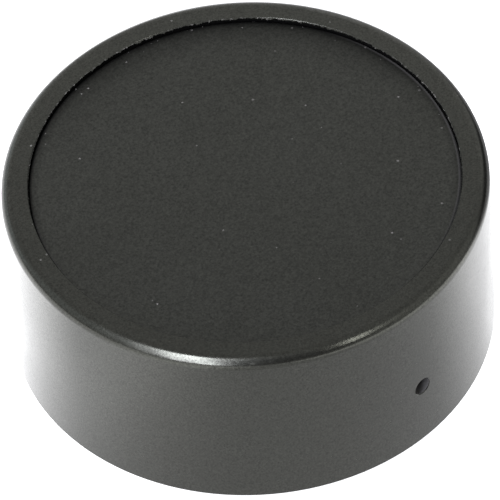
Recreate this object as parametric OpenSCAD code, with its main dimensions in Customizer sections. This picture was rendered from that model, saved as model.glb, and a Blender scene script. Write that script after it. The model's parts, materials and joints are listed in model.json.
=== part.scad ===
// Magnetic security tag detacher: a turned puck that holds a steel-backed magnet pack.
// A hard tag is set down on the flat pad, and the field above the pole piece frees the tag's clutch.
// Frame: +Z up, origin at the centre of the foot ring's lower face, the set screw on the -Y side.

/* [Housing] */
// Outside diameter of the puck
housing_d = 76.2; // [75.6:0.1:84]
// Height of the whole puck, from the foot ring to the rim
overall_h = 32; // [31:0.25:36]
// Radius of the rounded outer edge of the rim
edge_r = 1.75; // [0.5:0.25:2.5]
// Width of the rim around the pad
rim_w = 4.3; // [3.9:0.05:4.5]
// Thickness of the floor under the magnet pack
floor_t = 4; // [3.5:0.25:4.5]

/* [Pad and cover] */
// Depth of the pad's face below the rim
pad_recess = 0.7; // [0.5:0.1:1.5]
// Thickness of the textured pad
pad_t = 1; // [0.8:0.1:1.5]
// Thickness of the adhesive film under the pad
film_t = 0.2; // [0.1:0.05:0.3]
// Thickness of the stainless cover plate
plate_t = 2; // [1.8:0.1:2.5]

/* [Magnet pack] */
// Outside diameter of the steel yoke cup
yoke_d = 57.6; // [57:0.1:58]
// Thickness of the yoke's wall
yoke_wall = 4.4; // [4.2:0.1:5]
// Thickness of the yoke's floor
yoke_floor = 4; // [3.75:0.25:4.5]
// Diameter of the two centre magnets
core_d = 26; // [20:0.5:26]
// Number of magnets in the outer ring
ring_count = 8; // [6:1:12]
// Thickness of the retainer ring
retainer_t = 2.5; // [2:0.25:3]

/* [Set screw] */
// Height of the set screw's axis
set_screw_z = 12.6; // [11.5:0.1:15]
// Thread diameter of the set screw
set_screw_d = 3; // [2.5:0.5:4]
// Length of the set screw
set_screw_l = 8; // [7:0.5:10]

/* [Hidden] */
$fn = 96;
eps = 0.01;

// Foot ring and its groove.
foot_proud = 0.25;        // how far the ring stands below the housing
foot_t = 1.25;
foot_r_out = housing_d / 2 - 3.1;
foot_r_in = foot_r_out - 8;
foot_gap = 0.1;
foot_tread_depth = 0.5;
foot_tread_w = 1.2;
foot_treads = 3;

// Housing and the pieces that close it.
housing_r = housing_d / 2;
rim_r = housing_r - rim_w;
fit_gap = 0.2;            // all round the plate and the yoke
pad_gap = 0.1;            // all round the pad
plate_r = rim_r - fit_gap;
pad_r = rim_r - pad_gap;
pad_edge = 0.3;
film_r = pad_r - pad_edge;
rim_chamfer = 0.1;
base_chamfer = 0.4;
plate_chamfer = 0.3;

// Magnet pack, from the axis outwards.
glue_gap = 0.1;
sleeve_wall = 1;
hub_wall = 0.6;
rib_t = 1.2;
core_r = core_d / 2;
sleeve_r = core_r + glue_gap + sleeve_wall;
hub_r = sleeve_r + glue_gap + hub_wall;
ring_r_in = hub_r + glue_gap;
yoke_r = yoke_d / 2;
yoke_bore_r = yoke_r - yoke_wall;
ring_r_out = yoke_bore_r - fit_gap;
bore_r = yoke_r + fit_gap;
foam_inset = 0.4;         // the foam pieces are this much smaller than the yoke
shim_t = 1;
cushion_t = 1.85;
magnet_chamfer = 0.4;
steel_chamfer = 0.5;
pole_step = 1;            // height of the pole piece's straight foot
pole_top_r = 8;

// The stack, from the counter upwards.
floor_z = foot_proud + floor_t;
yoke_z = floor_z + shim_t;
magnet_z = yoke_z + yoke_floor;
pad_z = overall_h - pad_recess;
film_z = pad_z - pad_t - film_t;
ledge_z = film_z - plate_t;
cushion_z = ledge_z - cushion_t;
retainer_z = cushion_z - retainer_t;
magnet_h = retainer_z - magnet_z;

// Countersunk screws: [thread diameter, head diameter, length, pitch, socket across flats].
yoke_screw = [4, 7.6, 8, 0.7, 2.5];
cover_screw = [2.5, 4.5, 6, 0.45, 1.5];
retainer_screw = [2, 3.6, 6, 0.4, 1.3];
head_edge = 0.2;          // height of the straight edge of a countersunk head
socket_share = 0.55;      // depth of a socket over the thread's diameter
thread_gap = 0.03;        // between a thread's crest and its hole
drill_room = 1;           // how far a tapped hole goes on below its screw's tip
yoke_screw_pcd = 40;
yoke_screw_count = 3;
yoke_screw_sink = 0.2;    // the heads lie this far inside the floor
cover_screw_pcd = 2 * (rim_r - 2.85);
cover_screw_count = 4;
retainer_screw_pcd = 2 * (yoke_r - yoke_wall / 2);
retainer_screw_count = 4;

// Set screw.
set_screw_pitch = 0.5;
set_screw_socket = 1.5;
set_screw_seat = 1.2;     // depth of its pocket in the yoke's wall
set_screw_mouth = 0.1;    // chamfer at the mouth of its hole
set_screw_point = 0.9;    // height of the cone at its tip

RING = [for (i = [1:ring_count]) str("ring_magnet_", i)];

// ---- shapes that repeat ----

// A turned ring between two radii and two heights, with chamfered corners.
module turned_ring(r_in, r_out, z0, z1, chamfer) {
    rotate_extrude()
        polygon([
            [r_in + chamfer, z0], [r_out - chamfer, z0], [r_out, z0 + chamfer],
            [r_out, z1 - chamfer], [r_out - chamfer, z1], [r_in + chamfer, z1],
            [r_in, z1 - chamfer], [r_in, z0 + chamfer]
        ]);
}

// A turned disc with chamfered corners.
module turned_disc(r, z0, z1, chamfer) {
    rotate_extrude()
        polygon([
            [0, z0], [r - chamfer, z0], [r, z0 + chamfer],
            [r, z1 - chamfer], [r - chamfer, z1], [0, z1]
        ]);
}

// Copies of its children evenly round the axis.
module round_axis(count, turn = 0) {
    for (i = [0:count - 1])
        rotate([0, 0, turn + i * 360 / count])
            children();
}

// The outline of a thread, from its foot at z = 0 up to length, as pairs of root and crest.
function thread_points(d, length, pitch) =
    let (depth = pitch / 2, turns = floor(length / pitch))
    [for (i = [0:turns - 1]) each [
        [d / 2 - depth, i * pitch],
        [d / 2, (i + 0.5) * pitch]
    ]];

// A hexagon socket cut down from the height of a screw's face.
module socket(across, depth, face_z) {
    translate([0, 0, face_z - depth])
        cylinder(d = across / cos(30), h = depth + eps, $fn = 6);
}

// A countersunk socket screw on the axis, its tip at z = 0 and its head's flat face at z = length.
module countersunk_screw(screw) {
    d = screw[0];
    head_d = screw[1];
    length = screw[2];
    cone_z = length - head_edge;
    shank = cone_z - (head_d - d) / 2;
    difference() {
        rotate_extrude()
            polygon(concat(
                [[0, 0]],
                thread_points(d, shank, screw[3]),
                [[d / 2, shank], [head_d / 2, cone_z], [head_d / 2, length], [0, length]]
            ));
        socket(screw[4], socket_share * d, length);
    }
}

// The room that such a screw needs: its shank hole, its cone and a clear way above the head.
module countersunk_hole(screw) {
    d = screw[0] + 2 * thread_gap;
    head_d = screw[1] + 2 * thread_gap;
    length = screw[2];
    cone_z = length - head_edge;
    cylinder(d = d, h = length);
    translate([0, 0, cone_z - (head_d - d) / 2])
        cylinder(d1 = d, d2 = head_d, h = (head_d - d) / 2);
    translate([0, 0, cone_z])
        cylinder(d = head_d, h = head_edge + 1);
}

// The tapped hole for such a screw, with a little room below its tip.
module tapped_hole(screw) {
    translate([0, 0, -drill_room])
        cylinder(d = screw[0] + 2 * thread_gap, h = screw[2]);
}

// Turns a screw that is drawn pointing up, head on top, over into the floor, head down.
module from_below() {
    round_axis(yoke_screw_count, 90)
        translate([yoke_screw_pcd / 2, 0, foot_proud + yoke_screw_sink + yoke_screw[2]])
            mirror([0, 0, 1])
                children();
}

// Puts a screw that is drawn pointing up into the cover plate, its head flush with the top.
module in_cover() {
    round_axis(cover_screw_count, 180 / cover_screw_count)
        translate([cover_screw_pcd / 2, 0, film_z - cover_screw[2]])
            children();
}

// Puts a screw that is drawn pointing up into the retainer ring, its head flush with the top.
module in_retainer() {
    round_axis(retainer_screw_count)
        translate([retainer_screw_pcd / 2, 0, cushion_z - retainer_screw[2]])
            children();
}

// Lays what is drawn along +Z down along the set screw's axis, out through the -Y side.
module on_set_screw_axis() {
    translate([0, 0, set_screw_z])
        rotate([90, 0, 0])
            children();
}

// ---- housing ----

// Half section of the turned cup.
module housing_section() {
    difference() {
        union() {
            translate([0, foot_proud])
                square([housing_r, overall_h - edge_r - foot_proud]);
            translate([0, overall_h - 2 * edge_r])
                square([housing_r - edge_r, 2 * edge_r]);
            translate([housing_r - edge_r, overall_h - edge_r])
                circle(r = edge_r);
        }
        translate([-eps, floor_z])
            square([bore_r + eps, overall_h]);
        translate([-eps, ledge_z])
            square([rim_r + eps, overall_h]);
        polygon([
            [rim_r - eps, overall_h - rim_chamfer - eps], [rim_r + rim_chamfer + eps, overall_h + eps],
            [rim_r - eps, overall_h + eps]
        ]);
        polygon([
            [housing_r - base_chamfer, foot_proud - eps], [housing_r + eps, foot_proud - eps],
            [housing_r + eps, foot_proud + base_chamfer]
        ]);
        translate([foot_r_in - foot_gap, 0])
            square([foot_r_out - foot_r_in + 2 * foot_gap, foot_t]);
    }
}

module housing() {
    set_screw_hole = set_screw_d + 2 * thread_gap;
    color([0.03, 0.03, 0.03])
        difference() {
            rotate_extrude()
                housing_section();
            from_below()
                countersunk_hole(yoke_screw);
            in_cover()
                tapped_hole(cover_screw);
            on_set_screw_axis() {
                translate([0, 0, bore_r - 2])
                    cylinder(d = set_screw_hole, h = housing_r);
                translate([0, 0, housing_r - 2 * set_screw_mouth])
                    cylinder(
                        d1 = set_screw_hole - 2 * set_screw_mouth,
                        d2 = set_screw_hole + 4 * set_screw_mouth,
                        h = 3 * set_screw_mouth
                    );
            }
        }
}

module foot_ring() {
    tread_pitch = (foot_r_out - foot_r_in) / (foot_treads + 1);
    color([0.06, 0.06, 0.06])
        rotate_extrude()
            difference() {
                translate([foot_r_in, 0])
                    square([foot_r_out - foot_r_in, foot_t]);
                for (i = [1:foot_treads])
                    translate([foot_r_in + i * tread_pitch - foot_tread_w / 2, -eps])
                        square([foot_tread_w, foot_tread_depth + eps]);
            }
}

// A headless screw: its cup point bears on the yoke, and its outer end stays inside the side wall.
module set_screw() {
    r = set_screw_d / 2;
    point_r = 0.62 * r;
    cup_r = 0.45 * r;
    end_chamfer = 0.2;
    thread = [
        for (p = thread_points(set_screw_d, set_screw_l - set_screw_point - set_screw_pitch, set_screw_pitch))
            p + [0, set_screw_point]
    ];
    color([0.1, 0.1, 0.11])
        on_set_screw_axis()
            translate([0, 0, yoke_r - set_screw_seat])
                difference() {
                    rotate_extrude()
                        polygon(concat(
                            [[0, cup_r], [cup_r, 0], [point_r, 0]],
                            thread,
                            [[r, set_screw_l - end_chamfer], [r - end_chamfer, set_screw_l], [0, set_screw_l]]
                        ));
                    socket(set_screw_socket, set_screw_socket, set_screw_l);
                }
}

// ---- pad and cover ----

// The pad's upper edge is rounded.
module wear_pad() {
    color([0.05, 0.05, 0.05])
        rotate_extrude() {
            translate([0, pad_z - pad_t])
                square([pad_r, pad_t - pad_edge]);
            translate([0, pad_z - pad_t])
                square([pad_r - pad_edge, pad_t]);
            translate([pad_r - pad_edge, pad_z - pad_edge])
                circle(r = pad_edge);
        }
}

module pad_adhesive() {
    color([0.85, 0.83, 0.75])
        translate([0, 0, film_z])
            cylinder(r = film_r, h = film_t);
}

module cover_plate() {
    color([0.72, 0.72, 0.73])
        difference() {
            turned_disc(plate_r, ledge_z, film_z, plate_chamfer);
            in_cover()
                countersunk_hole(cover_screw);
        }
}

module cover_screws() {
    color([0.65, 0.65, 0.66])
        in_cover()
            countersunk_screw(cover_screw);
}

module cushion_ring() {
    color([0.18, 0.18, 0.2])
        turned_ring(core_r + 1, yoke_r - foam_inset, cushion_z, ledge_z, 0.2);
}

// ---- magnet pack ----

module retainer_ring() {
    color([0.78, 0.79, 0.8])
        difference() {
            turned_ring(core_r + fit_gap, yoke_r, retainer_z, cushion_z, 0.3);
            in_retainer()
                countersunk_hole(retainer_screw);
        }
}

module retainer_screws() {
    color([0.65, 0.65, 0.66])
        in_retainer()
            countersunk_screw(retainer_screw);
}

// A truncated cone that gathers the field under the middle of the pad.
module pole_piece() {
    top_z = ledge_z - glue_gap;
    foot_chamfer = 0.3;
    color([0.55, 0.55, 0.56])
        rotate_extrude()
            polygon([
                [0, retainer_z], [core_r - foot_chamfer, retainer_z], [core_r, retainer_z + foot_chamfer],
                [core_r, retainer_z + pole_step], [pole_top_r, top_z], [0, top_z]
            ]);
}

// The two centre magnets are alike and stand on each other.
module centre_magnet(z0) {
    color([0.8, 0.79, 0.76])
        turned_disc(core_r, z0, z0 + magnet_h / 2, magnet_chamfer);
}

module centre_magnet_upper() {
    centre_magnet(magnet_z + magnet_h / 2);
}

module centre_magnet_lower() {
    centre_magnet(magnet_z);
}

module magnet_sleeve() {
    color([0.8, 0.62, 0.3])
        turned_ring(core_r + glue_gap, sleeve_r, magnet_z, magnet_z + magnet_h, 0.15);
}

// A hub with one rib between each two ring magnets.
module magnet_cage() {
    rib_root = hub_r - hub_wall / 2;
    color([0.9, 0.89, 0.84])
        union() {
            turned_ring(sleeve_r + glue_gap, hub_r, magnet_z, magnet_z + magnet_h, 0.1);
            round_axis(ring_count)
                translate([rib_root, -rib_t / 2, magnet_z])
                    cube([ring_r_out - rib_root, rib_t, magnet_h]);
        }
}

// The bay between two ribs, less a glue gap on each side, as a wedge of the given angle.
module rib_bay(angle) {
    reach = 2 * ring_r_out;
    inset = (rib_t / 2 + glue_gap) / sin(angle / 2);
    translate([inset, 0, 0])
        linear_extrude(overall_h)
            polygon([
                [0, 0],
                reach * [cos(angle / 2), -sin(angle / 2)],
                reach * [cos(angle / 2), sin(angle / 2)]
            ]);
}

module ring_magnet(i) {
    step = 360 / ring_count;
    color([0.78, 0.77, 0.74])
        rotate([0, 0, (i - 0.5) * step])
            intersection() {
                turned_ring(ring_r_in, ring_r_out, magnet_z, magnet_z + magnet_h, magnet_chamfer);
                rib_bay(step);
            }
}

module yoke_cup() {
    color([0.6, 0.6, 0.6])
        difference() {
            turned_disc(yoke_r, yoke_z, retainer_z, steel_chamfer);
            translate([0, 0, magnet_z])
                cylinder(r = yoke_bore_r, h = magnet_h + 1);
            from_below()
                tapped_hole(yoke_screw);
            in_retainer()
                tapped_hole(retainer_screw);
            on_set_screw_axis()
                translate([0, 0, yoke_r - set_screw_seat])
                    cylinder(d = set_screw_d + 2 * glue_gap, h = 2 * set_screw_seat);
        }
}

module floor_shim() {
    screw_room = yoke_screw[0] + 1;
    color([0.2, 0.2, 0.22])
        difference() {
            translate([0, 0, floor_z])
                cylinder(r = yoke_r - foam_inset, h = shim_t);
            from_below()
                cylinder(d = screw_room, h = yoke_screw[2]);
        }
}

module yoke_screws() {
    color([0.65, 0.65, 0.66])
        from_below()
            countersunk_screw(yoke_screw);
}

housing();
wear_pad();
pad_adhesive();
cover_plate();
cover_screws();
cushion_ring();
retainer_ring();
retainer_screws();
pole_piece();
centre_magnet_upper();
centre_magnet_lower();
magnet_sleeve();
magnet_cage();
yoke_cup();
floor_shim();
yoke_screws();
set_screw();
foot_ring();
for (i = [1:ring_count])
    ring_magnet(i);
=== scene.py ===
"""Looks for the security tag detacher: materials, the rim's burr, floor, light and camera."""

import json
import math
import random

import bpy
from mathutils import Matrix, Vector


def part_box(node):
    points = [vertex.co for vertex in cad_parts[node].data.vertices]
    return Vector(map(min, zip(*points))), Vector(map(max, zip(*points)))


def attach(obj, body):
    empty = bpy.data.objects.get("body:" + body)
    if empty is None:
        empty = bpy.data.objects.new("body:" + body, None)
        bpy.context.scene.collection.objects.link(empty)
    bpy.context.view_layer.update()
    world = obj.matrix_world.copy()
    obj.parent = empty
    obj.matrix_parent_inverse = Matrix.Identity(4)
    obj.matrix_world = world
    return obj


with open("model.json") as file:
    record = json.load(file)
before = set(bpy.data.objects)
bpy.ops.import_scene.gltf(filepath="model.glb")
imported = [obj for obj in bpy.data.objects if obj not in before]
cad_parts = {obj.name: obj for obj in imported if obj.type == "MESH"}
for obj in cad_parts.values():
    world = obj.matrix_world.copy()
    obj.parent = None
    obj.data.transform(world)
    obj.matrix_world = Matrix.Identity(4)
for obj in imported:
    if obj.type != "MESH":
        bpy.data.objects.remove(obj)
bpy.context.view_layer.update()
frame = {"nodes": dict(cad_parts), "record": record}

MM = 0.001
HOUSING_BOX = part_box("housing")
PUCK_TOP = HOUSING_BOX[1].z
PUCK_R = HOUSING_BOX[1].x
PAD_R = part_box("wear_pad")[1].x
RIM_GAP = 0.1 * MM  # between the pad and the rim
RIM_R = PAD_R + RIM_GAP
RIM_CHAMFER = 0.1 * MM
DUST_AND_SHADE_SIDE = (0.67, 0.74, 0.0)  # dust and the burr gather towards this side, and the pad's painted shade is set out along it
PALER_EDGE_SIDE = (-0.09, -0.99, 0.0)  # the pad's edge band is paler towards this side
SCREW_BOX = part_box("set_screw")
HOLE_MOUTH = (0.0, -PUCK_R, (SCREW_BOX[0].z + SCREW_BOX[1].z) / 2)
HOLE_REACH = 2.2 * MM  # this near the mouth and under the skin, the surface is the hole's wall
SKIN = 0.12 * MM


def grey(value, warm=0.0):
    return (value * (1 + warm), value, value * (1 - warm), 1.0)


BLACK = grey(0.001)
BLACK_PALER = grey(0.0016)
DRILLED = grey(0.045, 0.02)
PALER_EDGE_GREY = grey(0.024, 0.03)
DUST = grey(0.065, 0.05)
DUST_R = 0.2 * MM
DUST_ROUGHNESS = 0.9
OLIVE = (1.0, 1.02, 0.88, 1.0)  # tint of the black plastic's reflections
PLASTIC_IOR = 1.5


# ---- node helpers ----

MIX_A = 6
MIX_B = 7
MIX_RESULT = 2


class Nodes:
    """A node tree, with short calls for the nodes that the looks below use."""

    def __init__(self, tree):
        self.tree = tree

    def node(self, kind, **settings):
        made = self.tree.nodes.new(kind)
        for name, value in settings.items():
            setattr(made, name, value)
        return made

    def feed(self, socket, value):
        """Links value to the socket, or sets it if it is a number, a vector or a colour."""
        if isinstance(value, bpy.types.NodeSocket):
            self.tree.links.new(value, socket)
        else:
            socket.default_value = value

    def math(self, operation, a, b):
        made = self.node("ShaderNodeMath", operation=operation)
        self.feed(made.inputs[0], a)
        self.feed(made.inputs[1], b)
        return made.outputs[0]

    def times(self, a, b):
        return self.math("MULTIPLY", a, b)

    def plus(self, a, b):
        return self.math("ADD", a, b)

    def vector(self, operation, a, b=None):
        made = self.node("ShaderNodeVectorMath", operation=operation)
        self.feed(made.inputs[0], a)
        if b is not None:
            self.feed(made.inputs[1], b)
        return made.outputs["Value" if operation in ("LENGTH", "DOT_PRODUCT") else "Vector"]

    def split(self, vector):
        made = self.node("ShaderNodeSeparateXYZ")
        self.feed(made.inputs[0], vector)
        return made.outputs

    def remap(self, value, low, high, to_low=0.0, to_high=1.0):
        made = self.node("ShaderNodeMapRange", clamp=True)
        for socket, given in zip(made.inputs, (value, low, high, to_low, to_high)):
            self.feed(socket, given)
        return made.outputs[0]

    def mix(self, share, a, b):
        """Colour a where share is 0 and colour b where it is 1."""
        made = self.node("ShaderNodeMix", data_type="RGBA")
        self.feed(made.inputs["Factor"], share)
        self.feed(made.inputs[MIX_A], a)
        self.feed(made.inputs[MIX_B], b)
        return made.outputs[MIX_RESULT]

    def end_in(self, output, share, a, b):
        """Ends the tree in shader a where share is 0 and shader b where it is 1."""
        made = self.node("ShaderNodeMixShader")
        for socket, given in zip(made.inputs, (share, a, b)):
            self.feed(socket, given)
        self.feed(self.tree.nodes[output].inputs["Surface"], made.outputs[0])


class Material(Nodes):
    """A new Principled material, whose textures lie in the object's own place."""

    def __init__(self, name):
        self.material = bpy.data.materials.new(name)
        self.material.use_nodes = True
        super().__init__(self.material.node_tree)
        self.shader = self.tree.nodes["Principled BSDF"]
        self.place = self.node("ShaderNodeTexCoord").outputs["Object"]

    def set(self, **inputs):
        """Sets or links the shader's own sockets, such as base_color or roughness."""
        for name, value in inputs.items():
            label = name.replace("_", " ").title().replace("Ior", "IOR")
            self.feed(self.shader.inputs[label], value)

    def noise(self, size, detail=2.0, rough=0.5, at=None):
        """Noise from 0 to 1, whose features are about size metres across."""
        made = self.node("ShaderNodeTexNoise")
        self.feed(made.inputs["Vector"], self.place if at is None else at)
        self.feed(made.inputs["Scale"], 1.0 / size)
        self.feed(made.inputs["Detail"], detail)
        self.feed(made.inputs["Roughness"], rough)
        return made.outputs[0]

    def bump(self, height, depth, under=None):
        """A bump of the given depth in metres, where height goes from 0 to 1."""
        made = self.node("ShaderNodeBump")
        self.feed(made.inputs["Strength"], 1.0)
        self.feed(made.inputs["Distance"], depth)
        self.feed(made.inputs["Height"], height)
        if under is not None:
            self.feed(made.inputs["Normal"], under)
        return made.outputs[0]

    def stretched(self, scale):
        """The place, scaled by three factors, so that a texture made with it is drawn out."""
        return self.vector("MULTIPLY", self.place, scale)

    def radius(self):
        """Distance from the puck's axis."""
        return self.vector("LENGTH", self.stretched((1, 1, 0)))

    def turned(self):
        """A place made of radius and height, so that a texture made with it runs in rings."""
        made = self.node("ShaderNodeCombineXYZ")
        self.feed(made.inputs[0], self.radius())
        self.feed(made.inputs[1], self.split(self.place)[2])
        return made.outputs[0]

    def facing_up(self):
        """1 on faces within 26 degrees of level, and 0 on walls and undersides."""
        normal = self.split(self.node("ShaderNodeNewGeometry").outputs["True Normal"])[2]
        return self.remap(normal, 0.6, 0.9)

    def specks(self, spacing, size, share, faintest=0.2):
        """Round specks up to size metres in radius, some faint, in the given share of flat cells."""
        made = self.node("ShaderNodeTexVoronoi", voronoi_dimensions="2D")
        self.feed(made.inputs["Vector"], self.place)
        self.feed(made.inputs["Scale"], 1.0 / spacing)
        drawn = self.split(made.outputs["Color"])
        reach = self.times(drawn[1], size / spacing)
        near = self.math("LESS_THAN", made.outputs["Distance"], reach)
        kept = self.math("LESS_THAN", drawn[0], share)
        strength = self.remap(drawn[2], 0.0, 1.0, faintest, 1.0)
        return self.times(near, self.times(kept, strength))

    def dust_and_shade_edge(self, start, full):
        """1 on the dusty side where the radius passes from start to full, and 0 elsewhere. It places
        dust, and on the pad a band of painted shade.
        """
        along = self.vector("DOT_PRODUCT", self.place, DUST_AND_SHADE_SIDE)
        side = self.remap(along, 0.1 * PAD_R, 0.7 * PAD_R)
        return self.times(side, self.remap(self.radius(), start, full))

    def dust(self, spacing, few, edge, more):
        """Pale specks on what looks up: a few all over, and more of them where edge is 1."""
        share = self.plus(self.times(edge, more), few)
        return self.times(self.specks(spacing, DUST_R, share), self.facing_up())

    def dusty(self, roughness, dust):
        """The roughness, raised where there is dust."""
        return self.math("MAXIMUM", roughness, self.times(dust, DUST_ROUGHNESS))


# ---- materials ----


def turned_black_plastic():
    """The housing: satin black with faint turning marks, fine scuffs and pale dust on what looks up."""
    m = Material("housing_plastic")
    marks = m.noise(0.35 * MM, detail=3.0, at=m.turned())
    grain = m.noise(0.3 * MM, detail=3.0, rough=0.7)
    cloud = m.noise(9 * MM, detail=3.0)
    scuff = m.noise(1.6 * MM, detail=4.0, rough=0.65, at=m.stretched((1, 1, 4)))
    dust = m.dust(1.4 * MM, 0.025, m.dust_and_shade_edge(RIM_R + 2 * MM, RIM_R), 0.2)
    from_hole = m.vector("LENGTH", m.vector("SUBTRACT", m.place, HOLE_MOUTH))
    near_hole = m.math("LESS_THAN", from_hole, HOLE_REACH)
    drilled = m.times(near_hole, m.math("LESS_THAN", m.radius(), PUCK_R - SKIN))
    body = m.mix(drilled, m.mix(cloud, BLACK, BLACK_PALER), DRILLED)
    satin = m.plus(m.remap(cloud, 0.3, 0.7, 0.19, 0.24), m.remap(scuff, 0.55, 0.8, 0.0, 0.1))
    m.set(
        base_color=m.mix(dust, body, DUST),
        specular_ior_level=m.remap(grain, 0.25, 0.75, 0.26, 0.74),
        specular_tint=OLIVE,
        roughness=m.dusty(satin, dust),
        ior=PLASTIC_IOR,
        normal=m.bump(grain, 0.0012 * MM, m.bump(marks, 0.0008 * MM)),
    )
    return m.material


def grained_black_plastic():
    """The pad: matte black with a fine moulded grain, dusty on one side, with painted shade that dims
    its sheen towards its edge and on the half away from the dust.
    """
    m = Material("pad_plastic")
    grain = m.noise(0.35 * MM, detail=3.0, rough=0.7)
    cloud = m.noise(12 * MM, detail=3.0)
    dust = m.dust(1.6 * MM, 0.03, m.dust_and_shade_edge(PAD_R - 2.2 * MM, PAD_R - 0.6 * MM), 0.42)

    # The edge is marked all round, except on the side that lies away from the dust: painted shade dims
    # its sheen, and towards one side its base is paler.
    along = m.vector("DOT_PRODUCT", m.place, DUST_AND_SHADE_SIDE)
    behind = m.remap(along, -0.55 * PAD_R, -0.1 * PAD_R)
    edge = m.times(behind, m.remap(m.radius(), PAD_R - 0.6 * MM, PAD_R - 0.3 * MM))
    lip = m.times(behind, m.remap(m.radius(), PAD_R - 1.6 * MM, PAD_R - 0.2 * MM))
    handled = m.vector("DOT_PRODUCT", m.place, PALER_EDGE_SIDE)
    # The edge band's base is paler towards one side.
    paler_edge = m.times(edge, m.remap(handled, -0.5 * PAD_R, -0.1 * PAD_R))
    body = m.mix(paler_edge, m.mix(cloud, BLACK, BLACK_PALER), PALER_EDGE_GREY)

    # Painted shade: the grain's own sheen is weaker in a band on the dusty side, on the half away from
    # the dust, and at the edge.
    dull = m.math("POWER", m.dust_and_shade_edge(PAD_R - 7.5 * MM, PAD_R), 1.7)
    sheen = m.times(m.remap(grain, 0.25, 0.75, 0.19, 0.64), m.remap(dull, 0.0, 1.0, 1.0, 0.35))
    sheen = m.times(sheen, m.remap(along, -0.9 * PAD_R, 0.1 * PAD_R, 0.87, 1.0))
    sheen = m.times(sheen, m.remap(edge, 0.0, 1.0, 1.0, 0.45))
    m.set(
        base_color=m.mix(dust, body, DUST),
        # The lip dims the sheen a little more near the edge, as painted shade.
        specular_ior_level=m.times(sheen, m.remap(lip, 0.0, 1.0, 1.0, 0.6)),
        specular_tint=OLIVE,
        roughness=m.dusty(m.remap(cloud, 0.3, 0.7, 0.46, 0.52), dust),
        ior=PLASTIC_IOR,
        normal=m.bump(grain, 0.008 * MM),
    )
    return m.material


def torn_plastic():
    """The burr at the rim's inner edge: black like the rim, with flecks as pale as dust."""
    m = Material("torn_plastic")
    fleck = m.noise(0.7 * MM, detail=3.0, rough=0.65)
    m.set(
        base_color=m.mix(m.remap(fleck, 0.55, 0.68), grey(0.002), DUST),
        roughness=m.remap(fleck, 0.3, 0.7, 0.24, 0.6),
        specular_tint=OLIVE,
        ior=PLASTIC_IOR,
    )
    return m.material


def metal(name, color, rough, turned=0.002, stain=0.25):
    """A machined metal: rings from the lathe, small stains and a little variation in gloss."""
    m = Material(name)
    rings = m.noise(0.25 * MM, at=m.turned())
    cloud = m.noise(4 * MM, detail=4.0)
    spots = m.remap(m.noise(1.2 * MM, detail=3.0), 0.58, 0.75)
    dull = tuple(c * (1 - stain) for c in color[:3]) + (1.0,)
    m.set(
        base_color=m.mix(m.times(spots, 0.6), m.mix(cloud, color, dull), dull),
        metallic=1.0,
        roughness=m.remap(cloud, 0.3, 0.7, rough, rough + 0.12),
        normal=m.bump(rings, turned * MM),
    )
    return m.material


def oxide():
    """Black oxide on steel: a thin dull coat that greys where it is handled."""
    m = Material("black_oxide_steel")
    cloud = m.noise(0.8 * MM, detail=4.0, rough=0.6)
    m.set(
        base_color=m.mix(m.remap(cloud, 0.35, 0.7), grey(0.022), grey(0.04, 0.03)),
        metallic=0.35,
        roughness=m.remap(cloud, 0.3, 0.7, 0.45, 0.6),
    )
    return m.material


def foam():
    """Closed-cell foam: small pits all over, with painted shade that darkens them towards their
    bottoms.
    """
    m = Material("foam")
    cells = m.node("ShaderNodeTexVoronoi")
    m.feed(cells.inputs["Vector"], m.place)
    m.feed(cells.inputs["Scale"], 1.0 / (0.45 * MM))
    pit = cells.outputs["Distance"]
    # The pits are painted darker towards their bottoms, as shade.
    m.set(
        base_color=m.mix(m.remap(pit, 0.0, 0.5), grey(0.012), grey(0.04)),
        roughness=m.remap(pit, 0.0, 0.6, 0.95, 0.8),
        normal=m.bump(pit, 0.06 * MM),
    )
    return m.material


def film():
    """Dull adhesive film with small trapped bubbles."""
    m = Material("adhesive_film")
    bubble = m.specks(1.4 * MM, 0.5 * MM, 0.35)
    cloud = m.noise(6 * MM, detail=3.0)
    m.set(
        base_color=m.mix(bubble, m.mix(cloud, grey(0.5, 0.09), grey(0.6, 0.07)), grey(0.7, 0.04)),
        roughness=m.remap(cloud, 0.3, 0.7, 0.45, 0.6),
        subsurface_weight=0.1,
        normal=m.bump(bubble, 0.01 * MM),
    )
    return m.material


def nylon():
    """Natural moulded nylon: milky, with faint flow marks."""
    m = Material("cage_plastic")
    flow = m.noise(3 * MM, detail=3.0, at=m.stretched((1, 1, 0.25)))
    m.set(
        base_color=m.mix(flow, grey(0.66, 0.05), grey(0.74, 0.03)),
        roughness=m.remap(flow, 0.3, 0.7, 0.35, 0.48),
        subsurface_weight=0.15,
        normal=m.bump(m.noise(0.3 * MM), 0.004 * MM),
    )
    return m.material


def rubber():
    """The foot ring: black rubber with a fine tooth, greyed by the dust it has picked up."""
    m = Material("foot_rubber")
    tooth = m.noise(0.18 * MM, detail=3.0, rough=0.6)
    greyed = m.remap(m.noise(2.5 * MM, detail=4.0), 0.45, 0.75)
    m.set(
        base_color=m.mix(greyed, grey(0.012), grey(0.035, 0.04)),
        roughness=m.remap(greyed, 0.0, 1.0, 0.62, 0.85),
        ior=1.52,
        normal=m.bump(tooth, 0.01 * MM),
    )
    return m.material


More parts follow.
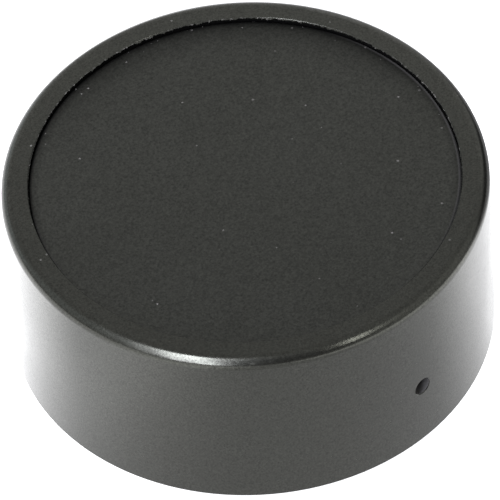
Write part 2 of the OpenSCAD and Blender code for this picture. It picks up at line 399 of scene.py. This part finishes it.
MATERIALS = {
    "housing_plastic": turned_black_plastic(),
    "pad_plastic": grained_black_plastic(),
    "adhesive_film": film(),
    "stainless_plate": metal("stainless_plate", (0.56, 0.55, 0.53, 1), 0.25),
    "zinc_screws": metal("zinc_screws", (0.52, 0.53, 0.55, 1), 0.28),
    "foam": foam(),
    "retainer_aluminium": metal("retainer_aluminium", (0.74, 0.74, 0.75, 1), 0.28),
    "yoke_steel": metal("yoke_steel", (0.4, 0.39, 0.38, 1), 0.34, stain=0.35),
    "magnet_nickel": metal("magnet_nickel", (0.62, 0.59, 0.54, 1), 0.14, turned=0.0004, stain=0.12),
    "sleeve_brass": metal("sleeve_brass", (0.71, 0.5, 0.21, 1), 0.24),
    "cage_plastic": nylon(),
    "black_oxide_steel": oxide(),
    "foot_rubber": rubber(),
}

for part in frame["record"]["subparts"]:
    node = frame["nodes"][part["node"]]
    node.data.materials.clear()
    node.data.materials.append(MATERIALS[part["material_slot"]])


# ---- the burr at the rim's inner edge ----

BURR_STEPS = 900
BURR_REACH = math.radians(100)  # to each side of the middle of the dusty side
BURR_MEMORY = 0.84  # how much of its width each step keeps from the one before
BURR_WANDER = 0.13
BURR_SPIKE = 0.2
SPIKE_RARITY = 8


def rim_burr():
    """A thin ragged lip that the cutter left along one side of the rim's inner edge."""
    rng = random.Random(7)
    middle = math.atan2(DUST_AND_SHADE_SIDE[1], DUST_AND_SHADE_SIDE[0])
    rows = []
    width = 0.0
    for i in range(BURR_STEPS + 1):
        share = 2 * i / BURR_STEPS - 1
        angle = middle + share * BURR_REACH
        size = 1 - share**2
        width = BURR_MEMORY * width + rng.uniform(-BURR_WANDER, BURR_WANDER)
        spike = rng.random() ** SPIKE_RARITY
        inner = RIM_R - size * (BURR_SPIKE * spike + abs(width)) * MM
        outer = RIM_R + size * rng.uniform(0.4, 0.9) * RIM_CHAMFER
        top = PUCK_TOP - rng.uniform(0.004, 0.024) * MM
        low = PUCK_TOP - rng.uniform(0.11, 0.17) * MM
        lip = top - rng.uniform(0.002, 0.022) * MM
        points = [(outer, top), (inner, lip), (inner + 0.01 * MM, low), (outer, low)]
        rows.append([(r * math.cos(angle), r * math.sin(angle), z) for r, z in points])
    corners = len(rows[0])
    last = BURR_STEPS * corners
    vertices = [p for row in rows for p in row]
    faces = [tuple(range(corners)), tuple(range(last, last + corners))[::-1]]
    for here in range(0, last, corners):
        there = here + corners
        for k in range(corners):
            n = (k + 1) % corners
            faces.append((here + k, here + n, there + n, there + k))
    mesh = bpy.data.meshes.new("rim_burr")
    mesh.from_pydata(vertices, [], faces)
    mesh.validate()
    mesh.materials.append(torn_plastic())
    piece = bpy.data.objects.new("rim_burr", mesh)
    bpy.context.scene.collection.objects.link(piece)
    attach(piece, "root")


rim_burr()


# ---- camera ----

CAMERA_AZIMUTH = math.radians(-42)
CAMERA_ELEVATION = math.radians(48.16)
CAMERA_ROLL = math.radians(-3.63)
CAMERA_DISTANCE = 1.84
CAMERA_LENS = 852.2
AIM_DROP = 11.25 * MM
AIM_ASIDE = 0.09 * MM
FAR_CLIP = 20


def direction(azimuth, elevation):
    """From the puck towards a place at this azimuth from -Y and this height above the horizon."""
    flat = math.cos(elevation)
    return Vector((math.sin(azimuth) * flat, -math.cos(azimuth) * flat, math.sin(elevation)))


def from_camera(azimuth, elevation):
    """The same in degrees, with the azimuth counted from the camera's own towards its right."""
    return direction(CAMERA_AZIMUTH + math.radians(azimuth), math.radians(elevation))


def add_camera():
    back = direction(CAMERA_AZIMUTH, CAMERA_ELEVATION)
    right = Vector((0, 0, 1)).cross(back).normalized()
    up = back.cross(right)
    spot = Vector((0, 0, PUCK_TOP)) + back * CAMERA_DISTANCE + right * AIM_ASIDE
    aim = Vector((0, 0, PUCK_TOP)) - up * AIM_DROP + right * AIM_ASIDE
    look = (aim - spot).to_track_quat("-Z", "Y").to_matrix().to_4x4()
    camera = bpy.data.objects.new("camera", bpy.data.cameras.new("camera"))
    camera.data.lens = CAMERA_LENS
    camera.data.clip_end = FAR_CLIP
    camera.matrix_world = Matrix.Translation(spot) @ look @ Matrix.Rotation(CAMERA_ROLL, 4, "Z")
    bpy.context.scene.collection.objects.link(camera)
    bpy.context.scene.camera = camera


# ---- floor ----

FLOOR_R = 1.2
FLOOR_SIDES = 96
FLOOR_GLOW = 1.1  # all over, before the zones below

# Zones of the floor's glow. A span is where a zone fades in, from none to full, in mm: ahead is
# towards the camera, aside is towards its right, and out is from the puck's axis.
NEAR_AHEAD = (26, 5)
NEAR_BACK = (-60, -15)
NEAR_GLOW = 0.95
LEFT_ASIDE = (-2, -45)
LEFT_END = (-76, -58)
LEFT_GLOW = 1.25
LEFT_CURVE = 1.8
CORNER_AHEAD = (12, 24)
CORNER_ASIDE = (-36, -50)
CORNER_LOSS = 0.35
BEYOND_OUT = (62, 100)
BEYOND_LEFT = (-10, -40)
BEYOND_LEFT_GLOW = 1.1
BEYOND_RIGHT = (60, 120)
BEYOND_RIGHT_GLOW = 1.4
RIGHT_ASIDE = (42, 75)
RIGHT_GLOW = 0.5
SHADE_ASIDE = (44, 56)
SHADE_BACK = (-10, -32)
SHADE_LOSS = 0.8


def floor_glow(paper):
    """How brightly the floor glows at each place."""
    front = from_camera(0, 0)
    ahead = paper.vector("DOT_PRODUCT", paper.place, front)
    aside = paper.vector("DOT_PRODUCT", paper.place, Vector((-front.y, front.x, 0)))

    def zone(value, span, full=1.0):
        return paper.remap(value, span[0] * MM, span[1] * MM, 0.0, full)

    def keep(loss):
        return paper.math("SUBTRACT", 1.0, loss)

    near = paper.times(zone(ahead, NEAR_AHEAD), zone(ahead, NEAR_BACK, NEAR_GLOW))
    left = paper.math("POWER", zone(aside, LEFT_ASIDE), LEFT_CURVE)
    left = paper.times(left, zone(aside, LEFT_END, LEFT_GLOW))
    corner = paper.times(zone(ahead, CORNER_AHEAD), zone(aside, CORNER_ASIDE, CORNER_LOSS))
    left = paper.times(left, keep(corner))
    beyond_left = zone(aside, BEYOND_LEFT, BEYOND_LEFT_GLOW)
    beyond_right = zone(aside, BEYOND_RIGHT, BEYOND_RIGHT_GLOW)
    beyond = paper.times(zone(paper.radius(), BEYOND_OUT), paper.plus(beyond_left, beyond_right))
    right = zone(aside, RIGHT_ASIDE, RIGHT_GLOW)
    shade = paper.times(zone(aside, SHADE_ASIDE), zone(ahead, SHADE_BACK, SHADE_LOSS))
    glow = paper.plus(paper.plus(near, left), paper.plus(right, FLOOR_GLOW))
    return paper.times(paper.plus(glow, beyond), keep(shade))


def add_floor():
    """A plain white sheet. Its glow is what the shiny wall mirrors, and from below it is clear."""
    mesh = bpy.data.meshes.new("floor")
    ring = [2 * math.pi * i / FLOOR_SIDES for i in range(FLOOR_SIDES)]
    corners = [(FLOOR_R * math.cos(a), FLOOR_R * math.sin(a), 0) for a in ring]
    mesh.from_pydata(corners, [], [range(FLOOR_SIDES)])
    floor = bpy.data.objects.new("floor", mesh)
    bpy.context.scene.collection.objects.link(floor)
    paper = Material("floor")
    seen = paper.node("ShaderNodeLightPath").outputs["Is Camera Ray"]
    paper.set(
        base_color=grey(0.08),
        roughness=0.9,
        specular_ior_level=0.1,
        emission_color=(1.0, 1.0, 1.02, 1.0),
        emission_strength=paper.math("MAXIMUM", floor_glow(paper), seen),
    )
    below = paper.node("ShaderNodeNewGeometry").outputs["Backfacing"]
    clear = paper.node("ShaderNodeBsdfTransparent").outputs[0]
    paper.end_in("Material Output", below, paper.shader.outputs[0], clear)
    mesh.materials.append(paper.material)


# ---- light ----

WORLD_LEVEL = 0.8

# Azimuth and elevation of the middle of a dark side, the cosine of the angle from it at which it
# begins and at which it is full, and the share of the light that is left there.
DARK_SIDES = [
    (132, 0, 0.85, 0.93, 0.15),
    (5, 36, 0.66, 0.94, 0.36),
]

COOL = (0.96, 0.98, 1.1)
SKY = (0.8, 0.92, 1.0)


def add_world():
    """Even grey light with two darker sides. The camera itself sees a white backdrop."""
    world = bpy.data.worlds.new("world")
    bpy.context.scene.world = world
    world.use_nodes = True
    sky = Nodes(world.node_tree)
    place = sky.node("ShaderNodeTexCoord").outputs["Generated"]
    level = WORLD_LEVEL
    for azimuth, elevation, begins, full, left in DARK_SIDES:
        near = sky.vector("DOT_PRODUCT", place, from_camera(azimuth, elevation))
        level = sky.times(sky.remap(near, begins, full, 1.0, left), level)
    dim = sky.tree.nodes["Background"]
    sky.feed(dim.inputs["Color"], grey(1.0))
    sky.feed(dim.inputs["Strength"], level)
    backdrop = sky.node("ShaderNodeBackground")
    sky.feed(backdrop.inputs["Color"], grey(1.0))
    seen = sky.node("ShaderNodeLightPath").outputs["Is Camera Ray"]
    sky.end_in("World Output", seen, dim.outputs[0], backdrop.outputs[0])


def add_softbox(name, azimuth, elevation, wide, high, radiance, distance=1.3, roll=0, color=(1, 1, 1)):
    """A soft light that faces the puck. Azimuth is from the camera's own; all angles are in degrees."""
    light = bpy.data.lights.new(name, "AREA")
    light.shape = "RECTANGLE"
    light.size = 2 * distance * math.tan(math.radians(wide / 2))
    light.size_y = 2 * distance * math.tan(math.radians(high / 2))
    light.energy = radiance * math.pi * light.size * light.size_y
    light.color = color
    box = bpy.data.objects.new(name, light)
    toward = from_camera(azimuth, elevation)
    box.matrix_world = (
        Matrix.Translation(toward * distance)
        @ toward.to_track_quat("Z", "Y").to_matrix().to_4x4()
        @ Matrix.Rotation(math.radians(roll), 4, "Z")
    )
    box.visible_camera = False
    bpy.context.scene.collection.objects.link(box)


add_camera()
add_floor()
add_world()

# Weak boxes behind and at the sides, and in front a window of three panes and a narrow tube.
add_softbox("back", 180, 28, 76, 48, 0.235, distance=0.25)
add_softbox("right", 85, 36, 50, 40, 0.3)
add_softbox("left", -85, 36, 50, 40, 0.4, color=SKY)
add_softbox("left_back", -132, 10, 50, 36, 0.6, color=SKY)
add_softbox("pane_near", -25.5, 42, 9, 68, 27, roll=12.5, color=COOL)
add_softbox("pane_middle", -37, 42, 6, 68, 25, roll=12.5, color=COOL)
add_softbox("pane_far", -50, 42, 9, 68, 3.2, roll=12.5, color=COOL)
add_softbox("tube", 48, 47, 2.5, 32, 27, roll=-17)

scene = bpy.context.scene
scene.view_settings.view_transform = "Standard"
scene.view_settings.look = "None"
